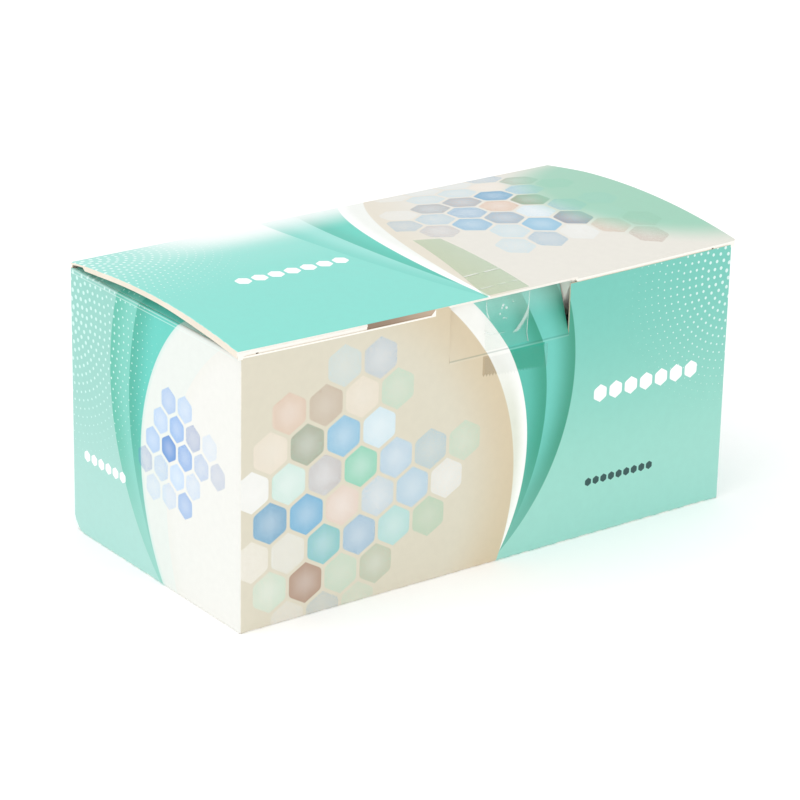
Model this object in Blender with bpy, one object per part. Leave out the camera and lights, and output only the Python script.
"""A folding carton for surgical face masks, taped shut: metres, +Z up, front towards -Y.

The carton is one board blank in life. Here each part of it that swings on its own crease is a
solid of its own: the sleeve with its four walls, the bottom, the lid with its turned-down side
lips, the tuck flap, two dust flaps, and the lock tab cut out of the front wall. Three pieces of
clear tape seal the lid. The origin is at the middle of the footprint, on the resting face.
"""

import math

import bpy
from mathutils import Vector

mm = 0.001

# Board and creases
BOARD = 0.5 * mm  # thickness of the folding board
CREASE_RADIUS = 0.6 * mm  # middle of the board round a top or bottom crease
CORNER_RADIUS = 0.8 * mm  # middle of the board round an upright corner
CREASE_FADE = 2.0 * mm  # a crease fades out over this length beside an upright corner
GAP = 0.35 * mm  # running gap at a crease that swings, and beside the tab

# Sleeve: outer sizes
LENGTH = 190 * mm
DEPTH = 96 * mm
FRONT_TOP = 88.5 * mm  # raw upper edge of the front wall
END_TOP = 88.6 * mm  # upper crease of both end walls
BACK_TOP = 89.6 * mm  # upper crease of the back wall
FRONT_BOW = 1.8 * mm  # how far the packed contents push the front wall out

# Lid
LID_LEVEL = 90.2 * mm  # middle of the board along the hinge and along the front crease
LID_ARCH = 3.8 * mm  # rise at mid depth
LID_OVERHANG = 1.0 * mm  # outside of each side lip beyond the end wall
LID_CORNER = 0.45 * mm  # middle of the board round the side lips' crease
LIP_DEPTH = 2.0 * mm
LIP_BACK_RELIEF = 9.0 * mm  # the lips stop this far short of the hinge
LIP_STEP = 1.5 * mm  # length of the step where a lip stops
LIP_STUB = 0.5 * mm  # drop of the lid's side behind that step
HINGE_INSET = 0.7 * mm  # lid hinge line inside the back wall's outer face

# Tuck flap
TUCK_LENGTH = 177 * mm
TUCK_DEPTH = 18.2 * mm
TUCK_LEAN = math.radians(22)
TUCK_CORNER = 9.0 * mm
TUCK_INSET = 0.55 * mm  # middle of the flap behind the middle of the lid's front crease

# Lock tab, cut out of the front wall, and the slot for it in the lid's front crease
TAB_CENTRE = 3.35 * mm
TAB_WIDTH = 46.6 * mm
TAB_HEIGHT = 17.4 * mm
TAB_CREASE = 71.7 * mm
TAB_LEAN = math.radians(20)
TAB_CORNER = 1.5 * mm
SLOT_RUN_OUT = 14 * mm  # the flap comes back to the crease over this length on each side
SLOT_DROP = 2.75 * mm  # free edge of the flap behind the tab, below the crease
TAB_PASS = 0.7 * mm  # the flap clears the tab's tip by this much as the lid swings up

# Dust flaps
DUST_LENGTH = 50 * mm
DUST_INSET = 1.5 * mm  # back edge inside the back wall's inner face
DUST_MITRE = 12 * mm  # front corner cut back by this much, clear of the tuck flap
DUST_SHOULDER = 4.7 * mm  # along the flap, where the mitre ends
DUST_ARCH = 4.0 * mm  # the flap is pushed up under the lid
DUST_RISE = 3.5 * mm  # length over which it rises

# Tape: film laid GAP above the board
FILM = 0.15 * mm
TAPE_LEFT = -6.3 * mm
TAPE_WIDTH = 16.9 * mm
TAPE_FAR_LEFT = 1.4 * mm
TAPE_FAR_WIDTH = 8.3 * mm
TAPE_ON_LID = 46 * mm
TAPE_END_WIDTH = 24.6 * mm
TAPE_ON_FRONT = 8.5 * mm
TAPE_GRIP = 0.55  # share of the tab's height where the film leaves it to bridge the gap
TAPE_SPLIT = 1.1 * mm  # film is parted this far to each side of the tab's crease

# Facets
CREASE_STEPS = 3
BOW_STEPS = 10  # along the front wall, each side of the tab
SPAN_STEPS = 12
ARCH_STEPS = 14
TAB_STEPS = 4
LOW_WALL_STEPS = 5  # below the tab's cut-out
HIGH_WALL_STEPS = 3  # beside it
SLIT_STEPS = 5  # each run-out of the tuck flap beside the tab
FILM_STEPS = 3  # across the tape

HALF_BOARD = BOARD / 2
WALL_X = LENGTH / 2 - HALF_BOARD
WALL_Y = DEPTH / 2 - HALF_BOARD
FRONT_INNER = -DEPTH / 2 + BOARD
HINGE_Y = DEPTH / 2 - HINGE_INSET
LID_LENGTH = LENGTH + 2 * LID_OVERHANG
DUST_CREASE_X = WALL_X - CREASE_RADIUS - GAP
DUST_CREASE_Z = END_TOP - HALF_BOARD


def steps(start, end, count):
    """count + 1 evenly spaced values from start to end."""
    return [start + (end - start) * i / count for i in range(count + 1)]


def quarter():
    """Angles of a crease, from along the board to square with it."""
    return steps(0, math.pi / 2, CREASE_STEPS)


def smooth(value):
    value = min(max(value, 0), 1)
    return value * value * (3 - 2 * value)


def mix(a, b, share):
    return a + (b - a) * share


def dome(place, low, high):
    """1 midway between low and high, 0 at both, as a parabola."""
    middle = (low + high) / 2
    return max(1 - ((place - middle) / (high - middle)) ** 2, 0)


def bow(x, z=FRONT_TOP):
    """How far the front wall stands out from flat at this place."""
    return FRONT_BOW * dome(x, -LENGTH / 2, LENGTH / 2) * (1 - (1 - min(z / FRONT_TOP, 1)) ** 2)


def finish(name, colour, roughness):
    made = bpy.data.materials.new(name)
    made.use_nodes = True
    shader = made.node_tree.nodes["Principled BSDF"]
    shader.inputs["Base Color"].default_value = (*colour, 1)
    shader.inputs["Roughness"].default_value = roughness
    shader.inputs["Metallic"].default_value = 0
    made.diffuse_color = (*colour, 1)
    return made


def normal_at(grid, row, column, wraps):
    last_row, last_column = len(grid) - 1, len(grid[0]) - 1
    along = grid[min(row + 1, last_row)][column] - grid[max(row - 1, 0)][column]
    if wraps:
        across = grid[row][(column + 1) % (last_column + 1)] - grid[row][column - 1]
    else:
        across = grid[row][min(column + 1, last_column)] - grid[row][max(column - 1, 0)]
    return across.cross(along).normalized()


def add_sheet(name, grid, thickness, material, wraps=False, missing=()):
    """A closed solid of a sheet whose middle passes through grid[row][column].

    The side that faces across x along is the outer one. wraps joins the last column to the
    first. missing names cells (row, column) that are cut out.
    """
    rows, columns = len(grid), len(grid[0])
    half = thickness / 2
    points = []
    for side in (half, -half):
        for row in range(rows):
            for column in range(columns):
                points.append(grid[row][column] + normal_at(grid, row, column, wraps) * side)

    def at(side, row, column):
        return (side * rows + row) * columns + column % columns

    across = columns if wraps else columns - 1
    cells = {(r, c) for r in range(rows - 1) for c in range(across)} - set(missing)
    faces = []
    for row, column in cells:
        ring = [(row, column), (row, column + 1), (row + 1, column + 1), (row + 1, column)]
        faces.append([at(0, r, c) for r, c in ring])
        faces.append([at(1, r, c) for r, c in reversed(ring)])
        left, right = column - 1, column + 1
        if wraps:
            left, right = left % across, right % across
        beside = [(row - 1, column), (row, right), (row + 1, column), (row, left)]
        for i, neighbour in enumerate(beside):
            if neighbour not in cells:
                (r0, c0), (r1, c1) = ring[i], ring[(i + 1) % 4]
                faces.append([at(0, r1, c1), at(0, r0, c0), at(1, r0, c0), at(1, r1, c1)])

    used = sorted({i for face in faces for i in face})
    new_index = {old: new for new, old in enumerate(used)}
    mesh = bpy.data.meshes.new(name)
    mesh.from_pydata(
        [points[i] for i in used], [], [[new_index[i] for i in face] for face in faces]
    )
    mesh.materials.append(material)
    mesh.shade_smooth()
    mesh.set_sharp_from_angle(angle=math.radians(30))
    made = bpy.data.objects.new(name, mesh)
    bpy.context.collection.objects.link(made)
    return made


def swing_from(piece, crease):
    """Moves a piece's origin onto its crease without moving the piece."""
    offset = Vector(crease)
    for vertex in piece.data.vertices:
        vertex.co -= offset
    piece.location = offset


def tab_sides():
    return TAB_CENTRE - TAB_WIDTH / 2, TAB_CENTRE + TAB_WIDTH / 2


def sleeve_stations():
    """Places round the sleeve's walls, in plan: (x, y, inward direction, wall)."""
    left, right = tab_sides()
    straight_x, straight_y = WALL_X - CORNER_RADIUS, WALL_Y - CORNER_RADIUS
    front = steps(-straight_x, left - GAP, BOW_STEPS)
    front += steps(left - GAP, right + GAP, TAB_STEPS)[1:]
    front += steps(right + GAP, straight_x, BOW_STEPS)[1:]
    end = steps(-straight_y, straight_y, SPAN_STEPS)
    back = steps(straight_x, -straight_x, SPAN_STEPS)
    stations = []

    def corner(centre_x, centre_y, start):
        for angle in quarter()[1:-1]:
            out_x, out_y = math.cos(start + angle), math.sin(start + angle)
            x, y = centre_x + CORNER_RADIUS * out_x, centre_y + CORNER_RADIUS * out_y
            stations.append((x, y, Vector((-out_x, -out_y, 0)), "corner"))

    stations += [(x, -WALL_Y, Vector((0, 1, 0)), "front") for x in front]
    corner(straight_x, -straight_y, -math.pi / 2)
    stations += [(WALL_X, y, Vector((-1, 0, 0)), "end") for y in end]
    corner(straight_x, straight_y, 0)
    stations += [(x, WALL_Y, Vector((0, -1, 0)), "back") for x in back]
    corner(-straight_x, straight_y, math.pi / 2)
    stations += [(-WALL_X, y, Vector((1, 0, 0)), "end") for y in reversed(end)]
    corner(-straight_x, -straight_y, math.pi)
    return stations


def sleeve(material):
    """Front, back and end walls of one folded and glued board, creased inwards top and bottom."""
    stations = sleeve_stations()
    straight_top = {
        "front": FRONT_TOP - CREASE_RADIUS,
        "end": END_TOP - HALF_BOARD - CREASE_RADIUS,
        "back": BACK_TOP - HALF_BOARD - CREASE_RADIUS,
    }
    straight_top["corner"] = straight_top["end"]
    bottom = HALF_BOARD + CREASE_RADIUS
    notch = TAB_CREASE - HALF_BOARD - GAP
    notch_share = (notch - bottom) / (straight_top["front"] - bottom)
    shares = steps(0, notch_share, LOW_WALL_STEPS) + steps(notch_share, 1, HIGH_WALL_STEPS)[1:]

    def inward_share(x, y):
        """Creases fade out at the upright corners."""
        along_front_or_back = WALL_Y - abs(y) < WALL_X - abs(x)
        to_corner = WALL_X - abs(x) if along_front_or_back else WALL_Y - abs(y)
        return smooth(to_corner / CREASE_FADE)

    def place(station, z, inward):
        x, y, direction, wall = station
        at = Vector((x, y, z)) + direction * inward
        if wall == "front":
            at.y -= bow(x, z)
        return at

    grid = []
    for angle in reversed(quarter()[1:]):
        inward = CREASE_RADIUS * (1 - math.cos(angle))
        z = bottom - CREASE_RADIUS * math.sin(angle)
        grid.append([
            place(s, z, 0 if s[3] == "corner" else inward * inward_share(s[0], s[1]))
            for s in stations
        ])
    for share in shares:
        grid.append([place(s, mix(bottom, straight_top[s[3]], share), 0) for s in stations])
    for angle in quarter()[1:]:
        inward = CREASE_RADIUS * (1 - math.cos(angle))
        rise = CREASE_RADIUS * math.sin(angle)
        grid.append([
            place(
                s,
                straight_top[s[3]] + rise,
                inward * inward_share(s[0], s[1]) if s[3] in ("end", "back") else 0,
            )
            for s in stations
        ])

    first_cut_row = CREASE_STEPS + LOW_WALL_STEPS
    cut = [
        (row, column)
        for row in range(first_cut_row, len(grid) - 1)
        for column in range(BOW_STEPS, BOW_STEPS + TAB_STEPS)
    ]
    return add_sheet("sleeve", grid, BOARD, material, wraps=True, missing=cut)


def bottom_panel(material):
    """The closed bottom, flush with the lower creases."""
    half_x = WALL_X - CREASE_RADIUS - GAP
    half_y = WALL_Y - CREASE_RADIUS - GAP
    grid = [
        [Vector((x, y, HALF_BOARD)) for x in steps(-half_x, half_x, 4)]
        for y in steps(-half_y, half_y, 2)
    ]
    return add_sheet("bottom_panel", grid, BOARD, material)


def lid_front(x):
    """Y of the middle of the board on the lid's front crease, flush with the bowed wall."""
    return -WALL_Y - bow(x)


def lid_surface(x, y):
    """Height of the middle of the lid's board."""
    return LID_LEVEL + LID_ARCH * dome(y, lid_front(x) + CREASE_RADIUS, HINGE_Y)


def lid_depths():
    """Rows of the lid from its front edge to its hinge: (crease angle or None, share, drop).

    drop is how far the side of the lid is turned down in that row.
    """
    rows = [(angle, 0, LIP_DEPTH) for angle in quarter()[:-1]]
    lip_share = 1 - LIP_BACK_RELIEF / DEPTH
    step_share = lip_share + LIP_STEP / DEPTH
    rows += [(None, share, LIP_DEPTH) for share in steps(0, lip_share, ARCH_STEPS)]
    return rows + [(None, share, LIP_STUB) for share in steps(step_share, 1, 2)]


def lid_point(x, angle, share):
    front = lid_front(x)
    if angle is None:
        y = mix(front + CREASE_RADIUS, HINGE_Y, share)
        return Vector((x, y, lid_surface(x, y)))
    fall = CREASE_RADIUS * (1 - math.sin(angle))
    return Vector((x, front + CREASE_RADIUS * (1 - math.cos(angle)), LID_LEVEL - fall))


def lid_panel(material):
    """The arched lid, its front crease turned down and a narrow lip down each side."""
    side_x = LID_LENGTH / 2 - HALF_BOARD
    inner_x = side_x - LID_CORNER
    grid = []
    for angle, share, drop in lid_depths():
        row = [lid_point(x, angle, share) for x in steps(-inner_x, inner_x, SPAN_STEPS * 2)]
        flat_z = lid_point(inner_x, None, share).z
        for side, end in ((-1, 0), (1, -1)):
            edge_y = row[end].y
            corner = []
            for turn in quarter()[1:]:
                x = side * (inner_x + LID_CORNER * math.sin(turn))
                fall = LID_CORNER * (1 - math.cos(turn))
                top = mix(row[end].z, flat_z, smooth(turn / (math.pi / 2)))
                corner.append(Vector((x, edge_y, top - fall)))
            corner.append(Vector((side * side_x, edge_y, flat_z - drop)))
            row = corner[::-1] + row if side < 0 else row + corner
        grid.append(row)
    made = add_sheet("lid_panel", grid, BOARD, material)
    swing_from(made, (0, HINGE_Y, LID_LEVEL))
    return made


def tuck_crease(x):
    """Middle of the board along the tuck flap's crease, just below the lid's front edge."""
    return Vector((x, lid_front(x) + TUCK_INSET, LID_LEVEL - CREASE_RADIUS - GAP))


def tab_axis():
    return Vector((TAB_CENTRE, -WALL_Y - bow(TAB_CENTRE, TAB_CREASE), TAB_CREASE))


def tab_tip_inside():
    """Inner corner of the leaning tab's upper edge."""
    along = Vector((0, math.sin(TAB_LEAN), math.cos(TAB_LEAN)))
    inward = Vector((0, math.cos(TAB_LEAN), -math.sin(TAB_LEAN)))
    return tab_axis() + along * TAB_HEIGHT + inward * HALF_BOARD


def tuck_flap(material):
    """The flap behind the front wall. Its crease is slit where the tab is pushed in."""
    left, right = tab_sides()
    half = TUCK_LENGTH / 2
    hang = Vector((0, math.sin(TUCK_LEAN), -math.cos(TUCK_LEAN)))
    straight = Vector((0, tuck_crease(half).y, tuck_crease(half).z))
    behind_tab = tab_tip_inside().y + TAB_PASS + HALF_BOARD
    spots = steps(-half, left - SLOT_RUN_OUT - GAP, BOW_STEPS)
    spots += steps(left - SLOT_RUN_OUT - GAP, left - GAP, SLIT_STEPS)[1:]
    spots += steps(left - GAP, right + GAP, TAB_STEPS)[1:]
    spots += steps(right + GAP, right + GAP + SLOT_RUN_OUT, SLIT_STEPS)[1:]
    spots += steps(right + GAP + SLOT_RUN_OUT, half, BOW_STEPS)[1:]
    columns = []
    for x in spots:
        outside = max(left - GAP - x, x - right - GAP, 0)
        pushed = smooth(1 - outside / SLOT_RUN_OUT)
        top = tuck_crease(x)
        top.y = mix(top.y, behind_tab, pushed)
        top.z -= SLOT_DROP * pushed
        foot = straight + hang * TUCK_DEPTH
        foot.x = x
        over = max(abs(x) - (half - TUCK_CORNER), 0) / TUCK_CORNER
        foot = foot.lerp(top, (1 - math.sqrt(max(1 - over * over, 0))) * TUCK_CORNER / TUCK_DEPTH)
        columns.append([top.lerp(foot, share) for share in steps(0, 1, 4)])
    grid = [list(row) for row in zip(*columns)]
    made = add_sheet("tuck_flap", grid[::-1], BOARD, material)
    swing_from(made, straight)
    return made


def dust_flap(name, side, material):
    """A flap folded in from an end wall and pushed up under the lid. side is -1 or 1."""
    front = FRONT_INNER + DUST_INSET
    back = -FRONT_INNER - DUST_INSET
    runs = steps(0, DUST_SHOULDER, 4) + steps(DUST_SHOULDER, DUST_LENGTH, 6)[1:]
    grid = []
    for run in runs:
        low = front + DUST_MITRE * min(run / DUST_SHOULDER, 1)
        lift = DUST_ARCH * (1 - math.exp(-run / DUST_RISE))
        grid.append([
            Vector((
                side * (DUST_CREASE_X - run),
                y,
                DUST_CREASE_Z + lift * dome(y, -HINGE_Y, HINGE_Y),
            ))
            for y in steps(low, back, SPAN_STEPS)
        ])
    made = add_sheet(name, grid if side > 0 else grid[::-1], BOARD, material)
    swing_from(made, (side * DUST_CREASE_X, 0, DUST_CREASE_Z))
    return made


def lock_tab(material):
    """The tab cut out of the front wall and pushed in at the top, under the lid's edge."""
    left, right = tab_sides()
    axis = tab_axis()
    along = Vector((0, math.sin(TAB_LEAN), math.cos(TAB_LEAN)))
    spots = [left] + steps(left + TAB_CORNER, right - TAB_CORNER, TAB_STEPS) + [right]
    grid = []
    for share in steps(0, 1, TAB_STEPS):
        row = []
        for x in spots:
            cut = TAB_CORNER if x in (left, right) else 0
            point = axis + along * (TAB_HEIGHT - cut) * share
            point.x = x
            row.append(point)
        grid.append(row)
    made = add_sheet("front_lock_tab", grid, BOARD, material)
    swing_from(made, axis)
    return made


def tape_on_lid(material):
    """Clear film from the lid's front crease back, narrowing to a torn end."""
    lift = HALF_BOARD + GAP + FILM / 2
    grid = []
    for share in steps(0, 1, 10):
        low = mix(TAPE_LEFT, TAPE_FAR_LEFT, share)
        high = low + mix(TAPE_WIDTH, TAPE_FAR_WIDTH, share)
        row = []
        for x in steps(low, high, FILM_STEPS):
            y = lid_front(x) + CREASE_RADIUS + TAPE_ON_LID * share
            row.append(Vector((x, y, lid_surface(x, y) + lift)))
        grid.append(row)
    return add_sheet("tape_on_lid", grid, FILM, material)


def tape_on_tab(material):
    """Film that grips the tab's lower part and bridges from there to the lid's edge."""
    axis = tab_axis()
    along = Vector((0, math.sin(TAB_LEAN), math.cos(TAB_LEAN)))
    outward = Vector((0, -math.cos(TAB_LEAN), math.sin(TAB_LEAN)))
    lift = outward * (HALF_BOARD + GAP + FILM / 2)
    start = axis + along * TAPE_SPLIT + lift
    leave = axis + along * TAB_HEIGHT * TAPE_GRIP + lift
    top = Vector((0, lid_front(TAB_CENTRE) - FILM, LID_LEVEL - CREASE_RADIUS - GAP))
    profile = [start, start.lerp(leave, 0.5), leave, leave.lerp(top, 0.5), top]
    grid = []
    for point in profile:
        row = []
        for x in steps(TAPE_LEFT, TAPE_LEFT + TAPE_WIDTH, FILM_STEPS):
            row.append(Vector((x, point.y, point.z)))
        grid.append(row)
    return add_sheet("tape_on_tab", grid, FILM, material)


def tape_on_front(material):
    """The film's end on the front wall, below the tab's crease."""
    lift = HALF_BOARD + GAP + FILM / 2
    high = TAB_CREASE - TAPE_SPLIT
    grid = [
        [
            Vector((x, -WALL_Y - bow(x, z) - lift, z))
            for x in steps(TAPE_LEFT, TAPE_LEFT + TAPE_END_WIDTH, FILM_STEPS)
        ]
        for z in steps(high - TAPE_ON_FRONT, high, 2)
    ]
    return add_sheet("tape_on_front", grid, FILM, material)


def clear_scene():
    for old in list(bpy.data.objects):
        bpy.data.objects.remove(old, do_unlink=True)


def main():
    clear_scene()
    printed = finish("printed_board", (0.30, 0.66, 0.60), 0.35)
    lid_print = finish("printed_board_lid", (0.36, 0.76, 0.70), 0.35)
    plain = finish("unprinted_board", (0.86, 0.83, 0.78), 0.6)
    film = finish("clear_tape", (0.85, 0.86, 0.82), 0.12)
    sleeve(printed)
    bottom_panel(plain)
    lid_panel(lid_print)
    tuck_flap(plain)
    dust_flap("dust_flap_left", -1, printed)
    dust_flap("dust_flap_right", 1, printed)
    lock_tab(printed)
    tape_on_lid(film)
    tape_on_tab(film)
    tape_on_front(film)
    bpy.context.view_layer.update()


main()
